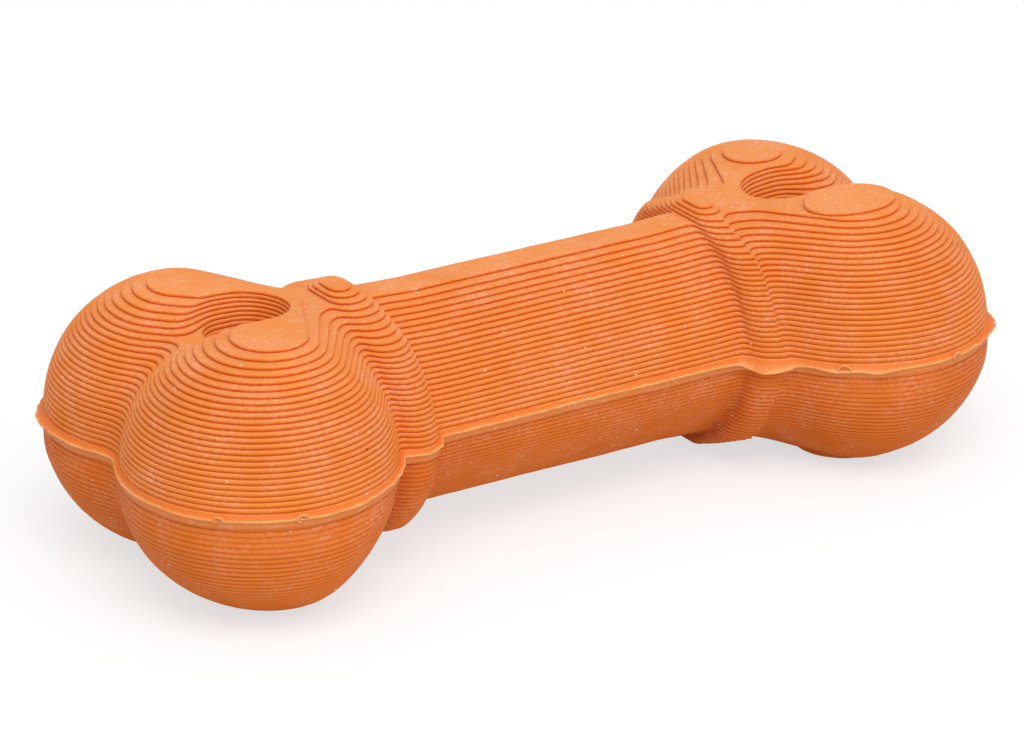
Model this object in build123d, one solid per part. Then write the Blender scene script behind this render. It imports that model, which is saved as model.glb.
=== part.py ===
from build123d import *
import os
from math import sqrt

# Rubber chew bone, in millimetres, lying flat: X along the shaft, Z up, floor at Z = 0.
# Two half mouldings meet on a level parting plane, with a fin of flash round the joint.
# The outside is stepped in level terraces, so each half is built up from level outlines.

# Knobs, two at each end, each a ball with a flat cut at the crown
knob_radius = 26.0
knob_from_middle = 64.5
knob_from_axis = 14.5
crown_cut = 1.0
crown_height = knob_radius - crown_cut

# Neck, where the two knobs of an end run together towards the shaft
neck_from_middle = 46.5
neck_from_axis = 2.0
neck_radius = 18.0
neck_height = crown_height + 0.2

# Shaft
shaft_radius = 20.5

# Ring collar near each end of the shaft
collar_from_middle = 38.0
collar_radius = 24.9
collar_section_radius = 5.0

# Round pit between the two knobs of an end, stepped like the outside
pit_from_middle = 61.0
pit_mouth_radius = 8.8
pit_floor_radius = 3.6
pit_depth = 13.0
pit_floor_height = crown_height - pit_depth

# Round channel from the pit out to the end, down the crease between the knobs
channel_radius = 7.5
channel_depth = 5.0
channel_floor_height = crown_height - channel_depth

# Terraces of one half: the real moulding has about 27, grouped here by four or five
terraces = 6
first_rise_to_last = 2.0

# Flash round the parting plane
flash_width = 1.1
flash_thickness = 1.0


def level(step):
    """Height of a terrace above the parting plane; the rises shrink towards the crown."""
    share = step / terraces
    bend = (first_rise_to_last - 1) / (first_rise_to_last + 1)
    return crown_height * ((1 + bend) * share - bend * share**2)


def half_width(radius, height):
    """Half the width that a round form of this radius has at this height."""
    return sqrt(max(radius**2 - height**2, 0))


def knob_outline(side, way, height):
    """Level cut through one knob, drawn in to the neck by two straight flanks."""
    knob_width = half_width(knob_radius, height)
    neck_width = neck_radius / neck_height * half_width(neck_height, height)
    # Each circle is turned so that its start point lies inside the hull
    knob = Rot(0, 0, 90 + 90 * side) * Circle(knob_width)
    neck = Rot(0, 0, 90 - 90 * side) * Circle(neck_width)
    knob = Pos(side * knob_from_middle, way * knob_from_axis) * knob
    neck = Pos(side * neck_from_middle, way * neck_from_axis) * neck
    return make_hull(knob.edges() + neck.edges())


def collar_outline(side, height):
    """Level cut through a ring collar: a slot across the shaft, gone above the crest."""
    ring = collar_radius - collar_section_radius
    reach = half_width(collar_radius, height)
    width = half_width(collar_section_radius, max(height - ring, 0))
    if width == 0:
        return Sketch()
    slot = SlotCenterToCenter(2 * (reach - width), 2 * width, rotation=90)
    return Pos(side * collar_from_middle, 0) * slot


def bone_outline(height):
    """Outline of the bone at this height above the parting plane, without the pits."""
    plan = Sketch()
    for side in (-1, 1):
        for way in (-1, 1):
            plan += knob_outline(side, way, height)
        plan += collar_outline(side, height)
    shaft = half_width(shaft_radius, height)
    if shaft > 0:
        plan += Rectangle(2 * knob_from_middle, 2 * shaft)
    return plan


def hollow_outline(side, height):
    """Level cut through the pit of one end and the channel that leads out of it."""
    plan = Sketch()
    if height > pit_floor_height:
        rise = (height - pit_floor_height) / (crown_height - pit_floor_height)
        pit = pit_floor_radius + (pit_mouth_radius - pit_floor_radius) * rise
        plan += Pos(side * pit_from_middle, 0) * Circle(pit)
    channel = half_width(channel_radius, channel_floor_height + channel_radius - height)
    if channel > 0:
        length = knob_radius + knob_from_middle - pit_from_middle
        plan += Pos(side * (pit_from_middle + length / 2), 0) * Rectangle(length, 2 * channel)
    return plan


def half_moulding():
    """One half, standing on the parting plane with its terraces upwards."""
    body = Part()
    for step in range(terraces):
        foot = level(step)
        head = level(step + 1)
        middle = (foot + head) / 2
        outline = bone_outline(middle)
        for side in (-1, 1):
            outline -= hollow_outline(side, middle)
        body += Pos(0, 0, foot) * extrude(outline, head - foot)
    return body


def parting_flash():
    """Thin fin round the joint, seated against the lowest terrace of both halves."""
    seam = bone_outline(level(1) / 2)
    fin = offset(seam, flash_width) - seam
    return Pos(0, 0, -flash_thickness / 2) * extrude(fin, flash_thickness)


parting_plane = Pos(0, 0, crown_height)
half = half_moulding()

nodes = {
    "upper_half": parting_plane * half,
    "lower_half": parting_plane * mirror(half, about=Plane.XY),
    "parting_flash": parting_plane * parting_flash(),
}

os.makedirs("parts", exist_ok=True)
for name, shape in nodes.items():
    shape.label = name
    export_step(shape, f"parts/{name}.step")
    box = shape.bounding_box()
    print(name, len(shape.solids()), "solid", round(shape.volume / 1000, 1), "cm3", box.size)
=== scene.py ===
import math

import bmesh
import bpy
import numpy as np
from mathutils import Matrix, Vector, noise
from mathutils.geometry import delaunay_2d_cdt


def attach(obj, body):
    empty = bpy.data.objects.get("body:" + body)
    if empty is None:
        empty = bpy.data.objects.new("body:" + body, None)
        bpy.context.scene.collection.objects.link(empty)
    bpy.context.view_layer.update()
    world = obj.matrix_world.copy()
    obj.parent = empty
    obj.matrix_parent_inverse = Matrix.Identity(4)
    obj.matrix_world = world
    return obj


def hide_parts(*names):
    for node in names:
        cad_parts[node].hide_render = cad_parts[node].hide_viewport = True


# An orange rubber chew bone on a pale floor. Lengths are in millimetres until a mesh is made.

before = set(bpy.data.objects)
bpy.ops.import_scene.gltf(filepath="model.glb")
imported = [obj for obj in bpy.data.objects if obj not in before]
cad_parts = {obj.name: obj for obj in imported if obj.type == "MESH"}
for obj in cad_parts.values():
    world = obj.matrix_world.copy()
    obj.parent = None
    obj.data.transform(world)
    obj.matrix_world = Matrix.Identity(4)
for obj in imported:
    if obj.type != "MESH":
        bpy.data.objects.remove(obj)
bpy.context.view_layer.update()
MM = 0.001

# The bone in plan, near the solids; where a value has two figures, the left end's stands first
KNOB_RADIUS = 25.0
FRONT_KNOBS = ((64.5, 14.4), (65.9, 15.6))
BACK_KNOBS = ((64.1, 16.5), (64.5, 15.6))
SHAFT_RADIUS = 20.9
COLLAR_RADIUS = (26.3, 24.8)
COLLAR_SECTION = (4.5, 3.4)
NECK_FROM_MIDDLE = 51.0
SLIM_NECK_RADIUS = 20.5
FULL_NECK_RADIUS = 22.0
WAIST_RADIUS = (21.0, 23.7)
PIT_NEAR_END = 58.0
PIT_FAR_END = 61.0
PIT_MOUTH_RADIUS = 7.4
PIT_FLOOR_RADIUS = 3.6
CHANNEL_RADIUS = 7.5

# Heights of the same forms above the parting plane, counted in flat layers
CROWN_HEIGHT = 25.0
FRONT_HEIGHT = (25.65, 26.5)
BACK_HEIGHT = (25.4, 26.1)
SHAFT_HEIGHT = 23.8
SHAFT_SQUARENESS = 1.6
COLLAR_HEIGHT = 26.7
SLIM_NECK_HEIGHT = 24.8
FULL_NECK_HEIGHT = 25.35
NECK_SQUARENESS = 2.2
WAIST_HEIGHT = (24.45, 25.2)
PIT_FLOOR_HEIGHT = 12.0
CHANNEL_FLOOR_HEIGHT = 20.0

# How far the knobs lean towards the neck at their crowns, and how late the lean sets in
FRONT_LEAN = (2.6, 2.2)
BACK_LEAN = (0.9, 1.9)
LEAN_POWER = 6
# The right front crown is drawn out along the bone
FRONT_STRETCH = (1.0, 1.3)

# The collar leans at its crest, which is a narrow peak that widens as it goes down
COLLAR_FROM_MIDDLE = (36.8, 40.3)
COLLAR_LEAN = (3.5, -1.0)
PEAK_REACH = 2.9
PEAK_SPREAD = 2.1
# The right collar has a nose towards its knobs, tilted in plan by this many degrees
NOSE_HEIGHT = 25.0
NOSE_TILT = 33.0
NOSE_LENGTH = 0.9

# The layers of the real moulding sag towards the middle: how high they stand at the left end,
# at the collars, along the shaft and at the right end
UPPER_STANDS = (0.978, 0.938, 0.920, 0.986)
LOWER_STANDS = (1.03, 0.92, 0.902, 0.975)
SAG_FROM = 43.0
SAG_TO = 62.0
SHAFT_SAG_FROM = 35.0
SHAFT_SAG_TO = 25.0

# The lower half is the fuller one at the ends, and the joint lies a little above the middle
PARTING_HEIGHT = 25.9
LOWER_SWELL = 0.8
SWELL_RUN = 6.0

# How softly the forms run into each other; the crease between the knobs opens out from the neck,
# and the valleys soften towards the seam
CREASE_BLEND = 5.0
CREASE_FROM_MIDDLE = 54.0
CREASE_RUN = 9.0
CREASE_LEAST = 0.1
NECK_BLEND = 4.0
VALLEY_BLEND = 1.2
COLLAR_BLEND = 1.2
NOSE_BLEND = 1.0
PIT_BLEND = 1.2
CHANNEL_BLEND = 3.0
SEAM_SOFTENING = 2.5
SEAM_SOFT_HEIGHT = 1.5

# Terraces up to the crowns of each end and up to the crests of the collars
CROWN_TERRACES = (27, 28)
TERRACES = 29
FIRST_RISE_TO_LAST = 1.4

# One terrace's face: how far in from its outline and how far up its rise each line of the bead lies
BEAD = ((0.20, 0.0), (0.10, 0.12), (0.025, 0.30), (0.0, 0.56), (0.06, 0.84), (0.22, 1.0))
# Painted shade on each line of the bead: full at its foot, none at its top
GROOVE_SHADE = (1.0, 0.9, 0.65, 0.25, 0.03, 0.0)

# Level outlines are found on a grid, which is set off the axes so that no node lies on an edge
OUTLINE_SPACING = 0.9
GRID_STEP = 0.5
GRID_OFFSET = (0.013, 0.017)
GRID_MARGIN = 3.0
FEWEST_CROSSINGS = 12
SETTLING_STEPS = 4
# Plan distance to a form that isn't there at a height
FAR_OFF = 10.0

# Unevenness of the moulding: wavelength and size of the slow and the fine wobble, how far apart
# in the noise the two are read, and the seed of that noise
SLOW_WOBBLE = (21.0, 0.16)
FINE_WOBBLE = (3.7, 0.05)
WOBBLES_APART = (7.1, 2.3, 5.9)
WOBBLE_SEED = 7

# Edges sharper than this many degrees stay sharp
SMOOTH_ANGLE = 38.0
FLASH_SMOOTH_ANGLE = 60.0

# The flash, whose width and droop vary along the seam
FLASH_WIDTH = 1.0
FLASH_EVEN_SHARE = 0.85
FLASH_SLOW_SHARE = 0.35
FLASH_QUICK_SHARE = 0.3
FLASH_LEAST_WIDTH = 0.25
FLASH_DROOP = 0.25
# Wavelength of each variation, and the height in the noise at which it is read
FLASH_SLOW_WAVE = (9.0, 3.3)
FLASH_QUICK_WAVE = (1.6, 8.1)
FLASH_DROOP_WAVE = (7.0, 1.7)

# Places on the seam where the flash stands out, hangs or is torn:
# plan place, reach, extra width and droop
FLASH_TABS = (
    ((-90.3, 21.9), 6.0, 0.7, 0.3),
    ((-77.0, -35.0), 3.0, 0.3, 0.2),
    ((39.0, -25.0), 5.0, 0.5, -1.5),
    ((47.0, -36.0), 3.5, 0.5, -1.1),
    ((54.0, -39.0), 3.0, 0.2, -0.6),
    ((84.2, -33.7), 6.0, 0.9, 0.5),
)
TAB_RAGGEDNESS = 0.5

# Plan places of the curled threads
FLASH_CURLS = (
    (-82.0, -31.0),
    (-70.0, -39.0),
    (47.5, -36.5),
    (71.0, -40.0),
    (-55.0, 38.0),
    (70.0, 39.0),
)

# A thread's loop, with its turn in degrees: it stands off the seam, splays and is a little flat
CURL_RADII = (0.85, 0.97, 1.09)
CURL_THICKNESS = 0.24
CURL_TIP = 0.35
CURL_START = -35
CURL_TURN = 290
CURL_STAND_OFF = 0.9
CURL_SPLAY = 0.15
CURL_HEIGHT = 0.25
CURL_FLATNESS = 0.75
# The threads' tone sits close to the flash edge's painted highlight
CURL_TONE = 0.9
CURL_SIDES = 7
CURL_RINGS = 14

# Cross-section of the flash, from the hollow above it over the ridge to the smooth band below:
# share of the ridge's reach, height and tone (0 for the painted shade in the deep hollow, 0.5 on
# the band, 1 for the painted highlight on the edge)
FLASH_SECTION = (
    (-0.6, 1.05, 0.0),
    (-0.12, 0.92, 0.0),
    (0.10, 0.68, 0.0),
    (0.24, 0.46, 0.05),
    (0.50, 0.30, 0.3),
    (0.86, 0.22, 0.9),
    (1.0, 0.06, 1.0),
    (0.92, -0.14, 1.0),
    (0.60, -0.34, 0.6),
    (0.44, -0.75, 0.5),
    (0.40, -1.20, 0.5),
    (0.30, -1.58, 0.5),
    (-0.08, -1.78, 0.3),
    (-0.6, -1.85, 0.2),
)
# Below this height the section is the band, which sways by a share of its height
BAND_TOP = -0.3
BAND_SWAY = 0.12

# Colours of the rubber, as linear light; some stand for painted light and shade, as noted at each
RUBBER = (0.81, 0.204, 0.020)
DEEPER_RUBBER = (0.73, 0.167, 0.013)
# Painted top light: upward faces are mixed towards this paler orange
PAINTED_TOP_LIGHT = (0.85, 0.41, 0.14)
# Painted shade at the foot of each terrace bead, darker and deeper orange
GROOVE_PAINTED_SHADE = (0.60, 0.098, 0.003)
# Pale bloom, laid on more thickly on upward faces as painted top light
BLOOM_AND_TOP_LIGHT = (0.88, 0.46, 0.32)
DUST = (0.93, 0.58, 0.38)
# Painted shade of the pinholes, as small dark dots on the surface
PINHOLE_SHADE = (0.10, 0.015, 0.004)
# Painted shade in the hollow above the flash's ridge
FLASH_HOLLOW_SHADE = (0.75, 0.165, 0.013)
FLASH_BAND = (0.77, 0.215, 0.045)
# Painted highlight along the flash's edge
FLASH_EDGE_HIGHLIGHT = (0.88, 0.41, 0.115)
FLASH_BLOOM = (0.88, 0.50, 0.30)

# Patterns of the rubber: wavelengths, and the spacing, radius and rarity of dots
TONE_PATCHES = 24.0
BLOOM_PATCHES = 8.0
BLOOM_GRAIN = 0.7
ROUGH_PATCHES = 6.0
RUBBER_GRAIN = 0.6
DUST_DOTS = (3.1, 0.30, 0.84)
PINHOLE_SHADE_DOTS = (9.0, 0.33, 0.90)
FLASH_PATCHES = 4.0
FLASH_SPECKS = 1.1
FLASH_GRAIN = 0.8
BUMP_DEPTH = 0.12

# Finish of the rubber: how far each colour covers it, and how rough and shiny it is
# Share of the painted top light on faces that look straight up
PAINTED_TOP_LIGHT_COVER = 0.30
# Share of the painted shade at each bead's foot
GROOVE_SHADE_COVER = 0.85
# Cover of the bloom on the walls and on faces that look up; its rise towards the tops is painted
# top light
BLOOM_AND_TOP_LIGHT_COVER = (0.28, 0.65)
FLASH_BLOOM_COVER = 0.6
ROUGHNESS = (0.52, 0.72)
SPECULAR = 0.18
SHEEN = 0.03
SHEEN_ROUGHNESS = 0.5
SHEEN_TINT = (1.0, 0.78, 0.68, 1.0)
GRAIN_STRENGTH = 0.35
FLASH_ROUGHNESS = 0.55
FLASH_SPECULAR = 0.35
FLASH_GRAIN_STRENGTH = 0.4

# Camera: from the left of the front, a little above, through a long lens
CAMERA_AZIMUTH = -32.05
CAMERA_ELEVATION = 22.9
CAMERA_DISTANCE = 912.0
CAMERA_RIGHT = -1.9
CAMERA_UP = -2.3
PHOTO_WIDTH = 1024
FOCAL_PIXELS = 4859.0
SENSOR_WIDTH = 36.0

# Light and floor, and the range that the lens shows, in metres
LENS_CLIP = (0.01, 20.0)
WORLD_STRENGTH = 0.70
LAMP_AIM_HEIGHT = 0.03
FLOOR_REACH = 4.0
FLOOR_GREY = (0.66, 0.66, 0.66)
FLOOR_WHITE = (0.97, 0.97, 0.97)
FLOOR_GLOW = 0.66
FLOOR_ROUGHNESS = 0.9
FLOOR_SPECULAR = 0.1


def level(step):
    """Height of a terrace above the parting plane; the rises shrink towards the crown."""
    share = step / CROWN_TERRACES[0]
    bend = (FIRST_RISE_TO_LAST - 1) / (FIRST_RISE_TO_LAST + 1)
    return CROWN_HEIGHT * ((1 + bend) * share - bend * share**2)


def smooth_run(value, start, end):
    """0 up to the start, 1 from the end on, with a smooth run between."""
    share = np.clip((value - start) / (end - start), 0.0, 1.0)
    return share * share * (3.0 - 2.0 * share)


def end_share(x):
    """0 along the shaft and at the collars, 1 at the ends."""
    return smooth_run(np.abs(x), SAG_FROM, SAG_TO)


def sag(x, stands):
    """Share of its height at which a layer stands, along the bone."""
    left, collar, shaft, right = stands
    end_rise = (np.where(x < 0, left, right) - collar) * end_share(x)
    shaft_rise = (shaft - collar) * smooth_run(np.abs(x), SHAFT_SAG_FROM, SHAFT_SAG_TO)
    return collar + end_rise + shaft_rise


def smooth_min(a, b, reach):
    """The smaller of two distances, rounded over where they are within this reach of each other."""
    mix = np.clip(0.5 + 0.5 * (b - a) / reach, 0.0, 1.0)
    return b + (a - b) * mix - reach * mix * (1.0 - mix)


def round_width(radius, height, z, squareness=2.0):
    """Half the width at height z of a round form of this radius and height; 0 above it."""
    return radius * max(1.0 - (z / height) ** squareness, 0.0) ** (1.0 / squareness)


def shaft_width(z):
    """Half the shaft's width at height z."""
    return round_width(SHAFT_RADIUS, SHAFT_HEIGHT, z, SHAFT_SQUARENESS)


def flanked_knob(along, beside, middle, knob, neck, stretch=1.0):
    """Plan distance to a knob's circle drawn in to the neck's smaller circle by straight flanks.

    Above the neck the knob stands alone and may be stretched along the bone.
    """
    if neck == 0.0:
        return np.hypot((along - middle[0]) / stretch, beside - middle[1]) - knob
    run = np.array([NECK_FROM_MIDDLE - middle[0], -middle[1]])
    length = np.linalg.norm(run)
    run = run / length
    ahead = (along - middle[0]) * run[0] + (beside - middle[1]) * run[1]
    across = np.abs((along - middle[0]) * run[1] - (beside - middle[1]) * run[0])
    lean = (knob - neck) / length
    upright = math.sqrt(1.0 - lean**2)
    place = ahead * upright - across * lean
    flank = across * upright + ahead * lean - knob
    tail = np.where(place > length * upright, np.hypot(across, ahead - length) - neck, flank)
    return np.where(place < 0.0, np.hypot(across, ahead) - knob, tail)


def leaning(middle, lean, z):
    """A knob's middle at layer height z, which leans towards the neck near the crown."""
    return (middle[0] - lean * (z / CROWN_HEIGHT) ** LEAN_POWER, middle[1])


def knob_pair(x, y, z, end):
    """Plan distance to the two knobs of an end. The right end's front knob has the fuller neck."""
    along = np.abs(x)
    if z > level(CROWN_TERRACES[end]):
        return np.full(np.broadcast(x, y).shape, FAR_OFF)
    slim = round_width(SLIM_NECK_RADIUS, SLIM_NECK_HEIGHT, z, NECK_SQUARENESS)
    full = round_width(FULL_NECK_RADIUS, FULL_NECK_HEIGHT, z, NECK_SQUARENESS) if end else slim
    knob = round_width(KNOB_RADIUS, FRONT_HEIGHT[end], z)
    middle = leaning(FRONT_KNOBS[end], FRONT_LEAN[end], z)
    front = flanked_knob(along, -y, middle, knob, full, FRONT_STRETCH[end])
    knob = round_width(KNOB_RADIUS, BACK_HEIGHT[end], z)
    back = flanked_knob(along, y, leaning(BACK_KNOBS[end], BACK_LEAN[end], z), knob, slim)
    opening = np.clip((along - CREASE_FROM_MIDDLE) / CREASE_RUN, CREASE_LEAST, 1.0)
    return smooth_min(front, back, CREASE_BLEND * opening)


def bar_field(along, beside, width, length):
    """Plan distance to a straight bar along the axis; far off where it has no width."""
    if width == 0.0:
        return np.full(np.broadcast(along, beside).shape, FAR_OFF)
    return np.maximum(beside - width, along - length)


def collar_field(along, beside, z, end):
    """Plan distance to a level cut through a ring collar, which is a slot across the shaft."""
    ring = COLLAR_HEIGHT - COLLAR_SECTION[end]
    width = round_width(COLLAR_SECTION[end], COLLAR_SECTION[end], max(z - ring, 0.0))
    if width == 0.0:
        return np.full(np.broadcast(along, beside).shape, FAR_OFF)
    peak = PEAK_REACH + PEAK_SPREAD * (level(TERRACES) - z)
    reach = max(min(round_width(COLLAR_RADIUS[end], COLLAR_HEIGHT, z), peak), width)
    middle = COLLAR_FROM_MIDDLE[end] + COLLAR_LEAN[end] * (z / COLLAR_HEIGHT) ** 2
    slot = np.hypot(along - middle, np.maximum(beside - reach + width, 0.0)) - width
    if not end or z > NOSE_HEIGHT:
        return slot
    tilt = math.radians(NOSE_TILT)
    face = (beside - reach + width) * math.cos(tilt) - (along - middle) * math.sin(tilt) - width
    start = middle - width * math.sin(tilt) - along
    nose = np.maximum(np.maximum(face, start), along - middle - NOSE_LENGTH)
    return smooth_min(slot, nose, NOSE_BLEND)


def hollow_field(along, y, z):
    """Positive inside the pit of an end and the channel that leads from it down the crease."""
    hollow = np.full(np.broadcast(along, y).shape, -FAR_OFF)
    if z > PIT_FLOOR_HEIGHT:
        rise = (z - PIT_FLOOR_HEIGHT) / (CROWN_HEIGHT - PIT_FLOOR_HEIGHT)
        radius = PIT_FLOOR_RADIUS + (PIT_MOUTH_RADIUS - PIT_FLOOR_RADIUS) * rise
        middle = np.clip(along, PIT_NEAR_END, PIT_FAR_END)
        hollow = np.maximum(hollow, radius - np.hypot(along - middle, y))
    if CHANNEL_FLOOR_HEIGHT < z:
        depth = CHANNEL_FLOOR_HEIGHT + CHANNEL_RADIUS - z
        channel = math.sqrt(max(CHANNEL_RADIUS**2 - depth**2, 0.0))
        beyond = np.hypot(np.minimum(along - PIT_FAR_END, 0.0), y) - channel
        hollow = -smooth_min(-hollow, beyond, CHANNEL_BLEND)
    return hollow


def end_field(x, y, z, end):
    """Plan distance to one end of the bone: its knobs, its waist and its collar."""
    along, beside = np.abs(x), np.abs(y)
    waist_width = round_width(WAIST_RADIUS[end], WAIST_HEIGHT[end], z)
    waist = bar_field(along, beside, waist_width, NECK_FROM_MIDDLE)
    waist = np.maximum(waist, COLLAR_FROM_MIDDLE[end] - along)
    knobs = smooth_min(knob_pair(x, y, z, end), waist, NECK_BLEND)
    shaft = bar_field(along, beside, shaft_width(z), NECK_FROM_MIDDLE)
    softer = 1.0 + SEAM_SOFTENING * math.exp(-z / SEAM_SOFT_HEIGHT)
    collar = smooth_min(shaft, collar_field(along, beside, z, end), COLLAR_BLEND * softer)
    return smooth_min(knobs, collar, VALLEY_BLEND * softer)


def bone_field(x, y, z):
    """Plan distance to the bone at layer height z, negative inside it."""
    body = np.where(x < 0, end_field(x, y, z, 0), end_field(x, y, z, 1))
    return -smooth_min(-body, -hollow_field(np.abs(x), y, z), PIT_BLEND)


def outward(points, z):
    """Unit outward direction in plan, and the field, at each point of a level outline."""
    step = 0.01
    x, y = points[:, 0], points[:, 1]
    slope_x = bone_field(x + step, y, z) - bone_field(x - step, y, z)
    slope_y = bone_field(x, y + step, z) - bone_field(x, y - step, z)
    slope = np.stack([slope_x, slope_y], axis=1) / (2 * step)
    size = np.maximum(np.linalg.norm(slope, axis=1, keepdims=True), 1e-6)
    return slope / size, bone_field(x, y, z) / size[:, 0]


def crossing_chains(values):
    """Closed chains of grid crossings round the negative areas, as lists of (node, node) pairs."""
    inside = values < 0
    mixed = np.zeros(inside[1:, 1:].shape, bool)
    for part in (inside[1:, :-1], inside[:-1, 1:], inside[1:, 1:]):
        mixed |= part != inside[:-1, :-1]
    links = {}
    for i, j in np.argwhere(mixed):
        corners = [(i, j), (i + 1, j), (i + 1, j + 1), (i, j + 1)]
        sides = [(corners[n], corners[(n + 1) % 4]) for n in range(4)]
        cut = [tuple(sorted(side)) for side in sides if inside[side[0]] != inside[side[1]]]
        for first, second in zip(cut[0::2], cut[1::2]):
            links.setdefault(first, []).append(second)
            links.setdefault(second, []).append(first)
    chains = []
    while links:
        start = next(iter(links))
        chain, here = [], start
        while here in links:
            chain.append(here)
            ahead = links.pop(here)
            here = next((other for other in ahead if other in links), None)
        chains.append(chain)
    return chains


def level_outlines(z):
    """Closed outlines of the smooth bone at height z, evenly spaced and exactly on its surface."""
    knobs = np.array(FRONT_KNOBS + BACK_KNOBS)
    half_length, half_width = knobs.max(axis=0) + KNOB_RADIUS + GRID_MARGIN
    xs = np.arange(-half_length, half_length, GRID_STEP) + GRID_OFFSET[0]
    ys = np.arange(-half_width, half_width, GRID_STEP) + GRID_OFFSET[1]
    values = bone_field(xs[:, None], ys[None, :], z)
    outlines = []
    for chain in crossing_chains(values):
        if len(chain) < FEWEST_CROSSINGS:
            continue
        points = []
        for a, b in chain:
            share = values[a] / (values[a] - values[b])
            x = xs[a[0]] + share * (xs[b[0]] - xs[a[0]])
            y = ys[a[1]] + share * (ys[b[1]] - ys[a[1]])
            points.append((x, y))
        points = np.array(points)
        around = np.vstack([points, points[:1]])
        run = np.concatenate([[0], np.cumsum(np.linalg.norm(np.diff(around, axis=0), axis=1))])
        count = max(FEWEST_CROSSINGS, int(round(run[-1] / OUTLINE_SPACING)))
        places = np.arange(count) * run[-1] / count
        points = np.stack([np.interp(places, run, around[:, n]) for n in (0, 1)], axis=1)
        for _ in range(SETTLING_STEPS):
            way, depth = outward(points, z)
            points = points - way * depth[:, None]
        outlines.append((points, outward(points, z)[0]))
    return outlines


def within(points, loops):
    """True for each point that lies inside an odd number of the closed loops."""
    odd = np.zeros(len(points), bool)
    for loop in loops:
        start, end = loop, np.roll(loop, -1, axis=0)
        above = (start[None, :, 1] > points[:, None, 1]) != (end[None, :, 1] > points[:, None, 1])
        rise = end[:, 1] - start[:, 1]
        rise = np.where(np.abs(rise) < 1e-12, 1e-12, rise)
        cross = start[:, 0] + (points[:, None, 1] - start[:, 1]) * (end[:, 0] - start[:, 0]) / rise
        odd ^= (np.sum(above & (points[:, None, 0] < cross), axis=1) % 2).astype(bool)
    return odd


class Surface:
    """Vertices and faces of one piece, with a painted shade from 0 to 1 for each face corner."""

    def __init__(self):
        self.points = []
        self.faces = []
        self.shades = []
        self.count = 0

    def add_ring(self, plan, height):
        """Adds vertices at one height and returns their numbers."""
        ring = np.column_stack([plan, np.full(len(plan), height)])
        self.points.append(ring)
        first = self.count
        self.count += len(ring)
        return np.arange(first, self.count)

    def add_wall(self, low, high, low_shade, high_shade):
        """Adds a band of faces between two loops of the same length."""
        for n in range(len(low)):
            after = (n + 1) % len(low)
            self.faces.append((low[n], low[after], high[after], high[n]))
            self.shades.append((low_shade, low_shade, high_shade, high_shade))

    def add_level_face(self, outer, inner, height):
        """Fills the level area inside the outer loops and outside the inner ones."""
        loops = outer + inner
        plan = np.vstack([points for points, ids in loops])
        ids = np.concatenate([ids for points, ids in loops])
        edges, first = [], 0
        for points, _ in loops:
            size = len(points)
            edges += [(first + n, first + (n + 1) % size) for n in range(size)]
            first += size
        found = delaunay_2d_cdt([Vector(p) for p in plan], edges, [], 0, 1e-6)
        places = np.array([tuple(v) for v in found[0]])
        names = []
        for place, source in zip(places, found[3]):
            if source:
                names.append(ids[source[0]])
            else:
                names.append(self.add_ring(place[None, :], height)[0])
        triangles = np.array(found[2])
        middles = places[triangles].mean(axis=1)
        keep = within(middles, [points for points, _ in outer])
        if inner:
            keep &= ~within(middles, [points for points, _ in inner])
        for triangle in triangles[keep]:
            self.faces.append(tuple(names[n] for n in triangle))
            self.shades.append((0.0, 0.0, 0.0))


def terraced_half(swell):
    """One half: stacked terraces with beaded faces, swollen at the ends, on the parting plane."""
    surface = Surface()
    below = None
    for step in range(TERRACES):
        foot, rise = level(step), level(step + 1) - level(step)
        feet, tops = [], []
        grown = swell * min(foot / SWELL_RUN, 1.0)
        for points, way in level_outlines(foot + rise / 2):
            points = points + way * (grown * end_share(points[:, 0]))[:, None]
            rings = []
            for inset, share in BEAD:
                plan = points - way * inset
                rings.append((plan, surface.add_ring(plan, foot + share * rise)))
            for n in range(len(BEAD) - 1):
                surface.add_wall(rings[n][1], rings[n + 1][1], GROOVE_SHADE[n], GROOVE_SHADE[n + 1])
            feet.append(rings[0])
            tops.append(rings[-1])
        surface.add_level_face(below if below else feet, feet if below else [], foot)
        below = tops
    surface.add_level_face(below, [], level(TERRACES))
    return surface


def wobble(points):
    """The points moved by the slow and fine unevenness of the moulding."""
    noise.seed_set(WOBBLE_SEED)
    moved = np.empty_like(points)
    for n, point in enumerate(points):
        slow = noise.noise_vector(Vector(point) / SLOW_WOBBLE[0])
        fine = noise.noise_vector(Vector(point) / FINE_WOBBLE[0] + Vector(WOBBLES_APART))
        moved[n] = point + SLOW_WOBBLE[1] * np.array(slow) + FINE_WOBBLE[1] * np.array(fine)
    return moved


def make_piece(name, points, faces, attributes, material, smooth_angle=SMOOTH_ANGLE):
    """A mesh object in metres, in its place, with face-corner attributes for its material."""
    mesh = bpy.data.meshes.new(name)
    placed = (points + np.array([0.0, 0.0, PARTING_HEIGHT])) * MM
    mesh.from_pydata(placed.tolist(), [], [tuple(int(n) for n in face) for face in faces])
    for label, values in attributes.items():
        layer = mesh.attributes.new(label, "FLOAT", "CORNER")
        layer.data.foreach_set("value", np.array(values, np.float32))
    mesh.polygons.foreach_set("use_smooth", np.ones(len(mesh.polygons), bool))
    mesh.update()
    mesh.set_sharp_from_angle(angle=math.radians(smooth_angle))
    mesh.materials.append(material)
    piece = bpy.data.objects.new(name, mesh)
    bpy.context.scene.collection.objects.link(piece)
    return piece


def face_outwards(piece):
    """Turns every face to look out of the closed piece; level faces stay flat up to their rims."""
    edit = bmesh.new()
    edit.from_mesh(piece.data)
    bmesh.ops.recalc_face_normals(edit, faces=edit.faces)
    for edge in edit.edges:
        sides = sorted(len(face.verts) for face in edge.link_faces)
        if sides == [3, 4]:
            edge.smooth = False
    edit.to_mesh(piece.data)
    edit.free()


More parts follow.
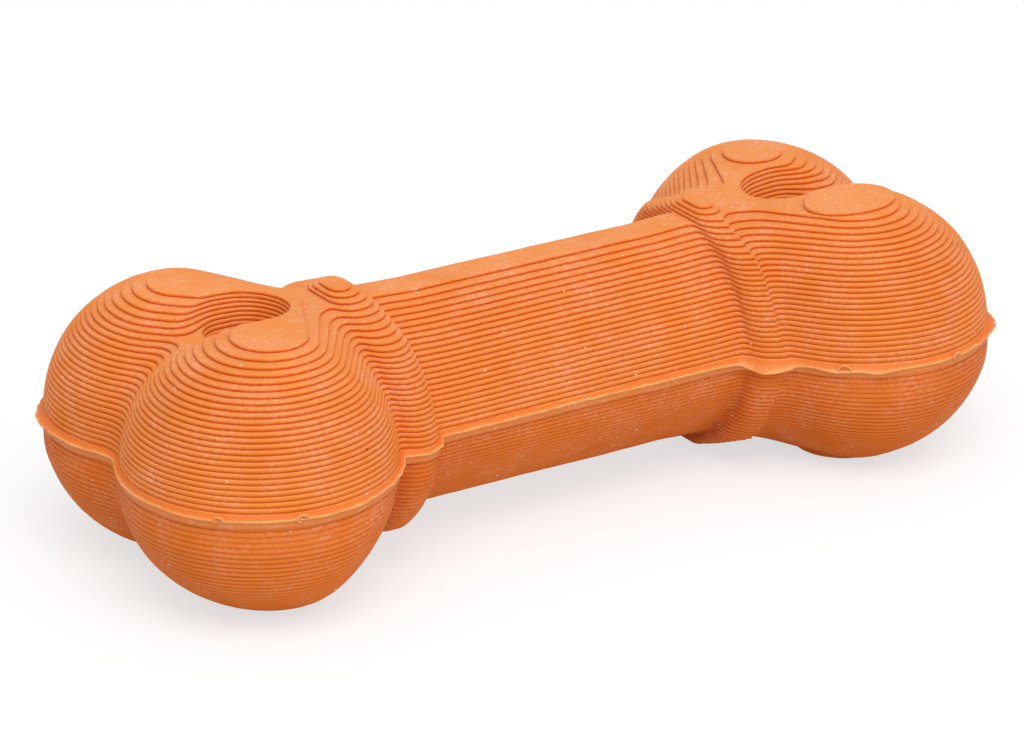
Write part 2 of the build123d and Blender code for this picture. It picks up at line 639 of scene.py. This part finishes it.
def flash_outline():
    """The seam's outline on the parting plane and its outward directions."""
    return max(level_outlines(level(1) / 2), key=lambda loop: len(loop[0]))


def seam_noise(place, wave):
    """Smooth noise at a place on the seam, from -1 to 1."""
    wavelength, height = wave
    return noise.noise(Vector((place[0] / wavelength, place[1] / wavelength, height)))


def ragged_flash():
    """The thin uneven fin squeezed out round the parting plane, with a few torn and curled bits."""
    plan, way = flash_outline()
    points, shade_and_highlight_tones = [], []
    for place, out in zip(plan, way):
        slow = seam_noise(place, FLASH_SLOW_WAVE)
        quick = seam_noise(place, FLASH_QUICK_WAVE)
        share = FLASH_EVEN_SHARE + FLASH_SLOW_SHARE * slow + FLASH_QUICK_SHARE * quick
        width = FLASH_WIDTH * share
        droop = FLASH_DROOP * seam_noise(place, FLASH_DROOP_WAVE)
        for (x, y), reach, extra, hang in FLASH_TABS:
            near = math.exp(-((place[0] - x) ** 2 + (place[1] - y) ** 2) / reach**2)
            width += extra * near * (1.0 + TAB_RAGGEDNESS * quick)
            droop += hang * near
        width = max(width, FLASH_LEAST_WIDTH)
        for share, height, tone in FLASH_SECTION:
            out_by = share * width if share > 0 else share
            lift = droop * max(share, 0.0) ** 2
            if height < BAND_TOP:
                height = height * (1.0 + BAND_SWAY * slow)
            points.append((place[0] + out[0] * out_by, place[1] + out[1] * out_by, height + lift))
            shade_and_highlight_tones.append(tone)
    size, count = len(FLASH_SECTION), len(plan)
    faces, shades = [], []
    for n in range(count):
        for m in range(size):
            here, there = n * size, ((n + 1) % count) * size
            face = (here + m, there + m, there + (m + 1) % size, here + (m + 1) % size)
            faces.append(face)
            shades += [shade_and_highlight_tones[corner] for corner in face]
    add_curls(points, faces, shades, plan, way)
    return np.array(points), faces, shades


def add_curls(points, faces, shades, plan, way):
    """Small curled threads of rubber left where the flash tore, as closed bent tubes."""
    around, along = CURL_SIDES, CURL_RINGS
    for number, spot in enumerate(FLASH_CURLS):
        near = int(np.argmin(np.linalg.norm(plan - np.array(spot), axis=1)))
        base, out = plan[near], way[near]
        side = np.array([-out[1], out[0]])
        loop_radius = CURL_RADII[number % len(CURL_RADII)]
        first = len(points)
        for n in range(along):
            turn = math.radians(CURL_START + CURL_TURN * n / (along - 1))
            away = CURL_STAND_OFF + CURL_SPLAY * math.sin(turn)
            mid = base + out * away + side * loop_radius * math.cos(turn)
            height = CURL_HEIGHT + loop_radius * CURL_FLATNESS * math.sin(turn)
            slim = CURL_THICKNESS * (1.0 if 0 < n < along - 1 else CURL_TIP)
            for m in range(around):
                angle = 2 * math.pi * m / around
                swell = slim * math.cos(angle)
                plan_way = side * math.cos(turn) * swell + out * slim * math.sin(angle)
                x, y = mid + plan_way
                points.append((x, y, height + swell * math.sin(turn)))
        for n in range(along - 1):
            for m in range(around):
                low, high = first + n * around, first + (n + 1) * around
                faces.append((low + m, low + (m + 1) % around, high + (m + 1) % around, high + m))
                shades += [CURL_TONE] * 4
        faces.append(tuple(first + m for m in range(around)))
        faces.append(tuple(first + (along - 1) * around + m for m in range(around)))
        shades += [CURL_TONE] * (2 * around)


class Nodes:
    """Short ways to add and join shader nodes of one material."""

    def __init__(self, name):
        self.material = bpy.data.materials.new(name)
        self.material.use_nodes = True
        self.tree = self.material.node_tree
        self.shader = self.tree.nodes["Principled BSDF"]

    def add(self, kind, **settings):
        """A new node of this kind with these settings."""
        node = self.tree.nodes.new(kind)
        for key, value in settings.items():
            setattr(node, key, value)
        return node

    def join(self, source, target):
        """Links an output to an input."""
        self.tree.links.new(source, target)

    def noise(self, place, wavelength_mm, detail=3.0, roughness=0.5):
        """Cloudy noise from 0 to 1."""
        node = self.add("ShaderNodeTexNoise")
        node.inputs["Scale"].default_value = 1.0 / (wavelength_mm * MM)
        node.inputs["Detail"].default_value = detail
        node.inputs["Roughness"].default_value = roughness
        self.join(place, node.inputs["Vector"])
        return node.outputs["Fac"]

    def ramp(self, source, low, high, low_value=0.0, high_value=1.0):
        """Stretches a value from one range to another and holds it there."""
        node = self.add("ShaderNodeMapRange", clamp=True)
        node.inputs["From Min"].default_value = low
        node.inputs["From Max"].default_value = high
        node.inputs["To Min"].default_value = low_value
        node.inputs["To Max"].default_value = high_value
        self.join(source, node.inputs["Value"])
        return node.outputs["Result"]

    def math(self, operation, a, b):
        """Two values or sockets taken together."""
        node = self.add("ShaderNodeMath", operation=operation)
        for socket, value in zip(node.inputs, (a, b)):
            if isinstance(value, (int, float)):
                socket.default_value = value
            else:
                self.join(value, socket)
        return node.outputs[0]

    def mix(self, share, base, over):
        """A share of one colour over another."""
        node = self.add("ShaderNodeMix", data_type="RGBA")
        sockets = (node.inputs[0], node.inputs[6], node.inputs[7])
        for socket, value in zip(sockets, (share, base, over)):
            if isinstance(value, tuple):
                socket.default_value = (*value, 1.0)
            elif isinstance(value, float):
                socket.default_value = value
            else:
                self.join(value, socket)
        return node.outputs[2]

    def bump(self, height, strength):
        """Fine grain that only the shading shows."""
        node = self.add("ShaderNodeBump")
        node.inputs["Strength"].default_value = strength
        node.inputs["Distance"].default_value = BUMP_DEPTH * MM
        self.join(height, node.inputs["Height"])
        self.join(node.outputs["Normal"], self.shader.inputs["Normal"])

    def dots(self, place, spacing_mm, radius_mm, rarity):
        """Scattered small round dots: 1 inside a dot, 0 outside, in a few of the cells only."""
        node = self.add("ShaderNodeTexVoronoi")
        node.inputs["Scale"].default_value = 1.0 / (spacing_mm * MM)
        self.join(place, node.inputs["Vector"])
        share = radius_mm / spacing_mm
        round_spot = self.ramp(node.outputs["Distance"], share * 0.7, share, 1.0, 0.0)
        pick = self.add("ShaderNodeSeparateColor")
        self.join(node.outputs["Color"], pick.inputs[0])
        return self.math("MULTIPLY", round_spot, self.ramp(pick.outputs[0], rarity, rarity + 0.01))


def body_material():
    """Matt orange rubber with whitish bloomed patches and dust; painted shade darkens each bead's
    foot and fills the pinholes, and upward faces carry a painted paler top and thicker patches as
    painted top light.
    """
    nodes = Nodes("body_rubber")
    place = nodes.add("ShaderNodeTexCoord").outputs["Object"]
    painted_groove_shade = nodes.add("ShaderNodeAttribute", attribute_name="painted_groove_shade").outputs["Fac"]
    tone = nodes.ramp(nodes.noise(place, TONE_PATCHES), 0.35, 0.65)
    colour = nodes.mix(tone, RUBBER, DEEPER_RUBBER)
    # How far each face looks up; this drives the painted top light
    tilt = nodes.add("ShaderNodeSeparateXYZ")
    nodes.join(nodes.add("ShaderNodeNewGeometry").outputs["Normal"], tilt.inputs[0])
    upward = nodes.ramp(tilt.outputs["Z"], -0.3, 0.9)
    patches = nodes.ramp(nodes.noise(place, BLOOM_PATCHES, 4.0, 0.6), 0.40, 0.68)
    grain = nodes.ramp(nodes.noise(place, BLOOM_GRAIN, 4.0, 0.65), 0.42, 0.66)
    # Painted top light: faces that look up are paler
    colour = nodes.mix(nodes.math("MULTIPLY", upward, PAINTED_TOP_LIGHT_COVER), colour, PAINTED_TOP_LIGHT)
    # Painted shade at each bead's foot
    colour = nodes.mix(nodes.math("MULTIPLY", painted_groove_shade, GROOVE_SHADE_COVER), colour, GROOVE_PAINTED_SHADE)
    # Bloom patches, thicker on faces that look up as painted top light
    bloom_cover_with_top_light = nodes.ramp(upward, 0.0, 1.0, *BLOOM_AND_TOP_LIGHT_COVER)
    bloom_with_top_light = nodes.math("MULTIPLY", nodes.math("MULTIPLY", patches, grain), bloom_cover_with_top_light)
    colour = nodes.mix(bloom_with_top_light, colour, BLOOM_AND_TOP_LIGHT)
    colour = nodes.mix(nodes.dots(place, *DUST_DOTS), colour, DUST)
    # Painted shade of pinholes as small dark dots
    colour = nodes.mix(nodes.dots(place, *PINHOLE_SHADE_DOTS), colour, PINHOLE_SHADE)
    nodes.join(colour, nodes.shader.inputs["Base Color"])
    rough = nodes.ramp(nodes.noise(place, ROUGH_PATCHES), 0.3, 0.7, *ROUGHNESS)
    nodes.join(rough, nodes.shader.inputs["Roughness"])
    nodes.shader.inputs["Specular IOR Level"].default_value = SPECULAR
    nodes.shader.inputs["Sheen Weight"].default_value = SHEEN
    nodes.shader.inputs["Sheen Roughness"].default_value = SHEEN_ROUGHNESS
    nodes.shader.inputs["Sheen Tint"].default_value = SHEEN_TINT
    nodes.bump(nodes.noise(place, RUBBER_GRAIN, 4.0, 0.6), GRAIN_STRENGTH)
    return nodes.material


def flash_material():
    """The same rubber squeezed thin, with painted shade in the hollow above the ridge and a painted
    highlight along its edge.
    """
    nodes = Nodes("flash_rubber")
    place = nodes.add("ShaderNodeTexCoord").outputs["Object"]
    tone = nodes.add("ShaderNodeAttribute", attribute_name="tone").outputs["Fac"]
    # Painted shade in the hollow above the ridge, fading to the band's own colour
    colour = nodes.mix(nodes.ramp(tone, 0.0, 0.5), FLASH_HOLLOW_SHADE, FLASH_BAND)
    patch = nodes.ramp(nodes.noise(place, FLASH_PATCHES, 4.0), 0.35, 0.62, 0.4, 1.0)
    # Painted highlight along the ridge's edge, in patches
    edge_highlight = nodes.math("MULTIPLY", nodes.ramp(tone, 0.55, 1.0), patch)
    colour = nodes.mix(edge_highlight, colour, FLASH_EDGE_HIGHLIGHT)
    # Pale bloom specks follow the tone, so they fade out in the painted hollow shade and are
    # thickest on the painted edge highlight
    specks = nodes.noise(place, FLASH_SPECKS, 3.0)
    specks = nodes.ramp(specks, 0.55, 0.75, 0.0, FLASH_BLOOM_COVER)
    colour = nodes.mix(nodes.math("MULTIPLY", specks, tone), colour, FLASH_BLOOM)
    nodes.join(colour, nodes.shader.inputs["Base Color"])
    nodes.shader.inputs["Roughness"].default_value = FLASH_ROUGHNESS
    nodes.shader.inputs["Specular IOR Level"].default_value = FLASH_SPECULAR
    nodes.bump(nodes.noise(place, FLASH_GRAIN, 3.0), FLASH_GRAIN_STRENGTH)
    return nodes.material


def add_halves():
    """The two terraced halves, each in place of its solid."""
    rubber = body_material()
    halves = (
        ("upper_half", 1.0, UPPER_STANDS, 0.0),
        ("lower_half", -1.0, LOWER_STANDS, LOWER_SWELL),
    )
    for node, way, stands, swell in halves:
        surface = terraced_half(swell)
        painted_groove_shades = [shade for corners in surface.shades for shade in corners]
        points = np.vstack(surface.points)
        points[:, 2] *= way * sag(points[:, 0], stands)
        shown = {"painted_groove_shade": painted_groove_shades}
        piece = make_piece(node + "_terraces", wobble(points), surface.faces, shown, rubber)
        face_outwards(piece)
        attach(piece, "root")
        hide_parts(node)


def add_flash():
    """The ragged flash between the halves, in place of its solid."""
    points, faces, shade_and_highlight_tones = ragged_flash()
    rubber = flash_material()
    shown = {"tone": shade_and_highlight_tones}
    fin = make_piece("parting_flash_fin", points, faces, shown, rubber, FLASH_SMOOTH_ANGLE)
    face_outwards(fin)
    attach(fin, "root")
    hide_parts("parting_flash")


def aim(azimuth, elevation):
    """Backward, right and up directions of a view."""
    a, e = math.radians(azimuth), math.radians(elevation)
    back = Vector((math.sin(a) * math.cos(e), -math.cos(a) * math.cos(e), math.sin(e)))
    right = (-back).cross(Vector((0, 0, 1))).normalized()
    return back, right, right.cross(-back)


def set_up(thing, place, view):
    """Puts a camera or lamp into the scene at a place, facing along its view."""
    back, right, up = view
    turn = Matrix((right, up, back)).transposed().to_4x4()
    thing.matrix_world = Matrix.Translation(place) @ turn
    bpy.context.scene.collection.objects.link(thing)


def add_camera():
    """A camera at the photograph's place, with its long lens."""
    back, right, up = aim(CAMERA_AZIMUTH, CAMERA_ELEVATION)
    lens = bpy.data.cameras.new("camera")
    lens.sensor_width = SENSOR_WIDTH
    lens.lens = FOCAL_PIXELS / PHOTO_WIDTH * SENSOR_WIDTH
    lens.clip_start = LENS_CLIP[0]
    lens.clip_end = LENS_CLIP[1]
    camera = bpy.data.objects.new("camera", lens)
    middle = Vector((0, 0, PARTING_HEIGHT))
    place = (middle + back * CAMERA_DISTANCE + right * CAMERA_RIGHT + up * CAMERA_UP) * MM
    set_up(camera, place, (back, right, up))
    bpy.context.scene.camera = camera


def add_softbox(name, azimuth, elevation, distance, size, watts):
    """A round area lamp that faces the bone."""
    view = aim(azimuth, elevation)
    lamp = bpy.data.lights.new(name, "AREA")
    lamp.shape = "DISK"
    lamp.size = size
    lamp.energy = watts
    box = bpy.data.objects.new(name, lamp)
    set_up(box, Vector((0, 0, LAMP_AIM_HEIGHT)) + view[0] * distance, view)


def floor_material():
    """White with the bone's shadow to the camera, pale grey to every other ray."""
    nodes = Nodes("floor_white")
    nodes.shader.inputs["Roughness"].default_value = FLOOR_ROUGHNESS
    nodes.shader.inputs["Specular IOR Level"].default_value = FLOOR_SPECULAR
    seen = nodes.add("ShaderNodeLightPath").outputs["Is Camera Ray"]
    nodes.join(nodes.mix(seen, FLOOR_GREY, FLOOR_WHITE), nodes.shader.inputs["Base Color"])
    glow = nodes.add("ShaderNodeEmission")
    glow.inputs["Strength"].default_value = 1.0
    both = nodes.add("ShaderNodeMixShader")
    nodes.join(nodes.math("MULTIPLY", seen, FLOOR_GLOW), both.inputs[0])
    nodes.join(nodes.shader.outputs[0], both.inputs[1])
    nodes.join(glow.outputs[0], both.inputs[2])
    nodes.join(both.outputs[0], nodes.tree.nodes["Material Output"].inputs["Surface"])
    return nodes.material


def add_floor():
    """A wide level floor under the bone."""
    low, high = -FLOOR_REACH, FLOOR_REACH
    corners = [(low, low, 0), (high, low, 0), (high, high, 0), (low, high, 0)]
    mesh = bpy.data.meshes.new("floor")
    mesh.from_pydata(corners, [], [(0, 1, 2, 3)])
    mesh.materials.append(floor_material())
    floor = bpy.data.objects.new("floor", mesh)
    bpy.context.scene.collection.objects.link(floor)


def add_world():
    """Even white light from all sides."""
    world = bpy.data.worlds.new("studio")
    world.use_nodes = True
    sky = world.node_tree.nodes["Background"]
    sky.inputs["Color"].default_value = (1.0, 1.0, 1.0, 1.0)
    sky.inputs["Strength"].default_value = WORLD_STRENGTH
    bpy.context.scene.world = world


add_halves()
add_flash()
add_floor()
add_world()
add_softbox("key_softbox", azimuth=-24.0, elevation=58.0, distance=1.6, size=1.1, watts=13.0)
add_softbox("front_softbox", azimuth=10.0, elevation=25.0, distance=1.8, size=1.4, watts=5.0)
add_camera()
bpy.context.scene.view_settings.view_transform = "Standard"
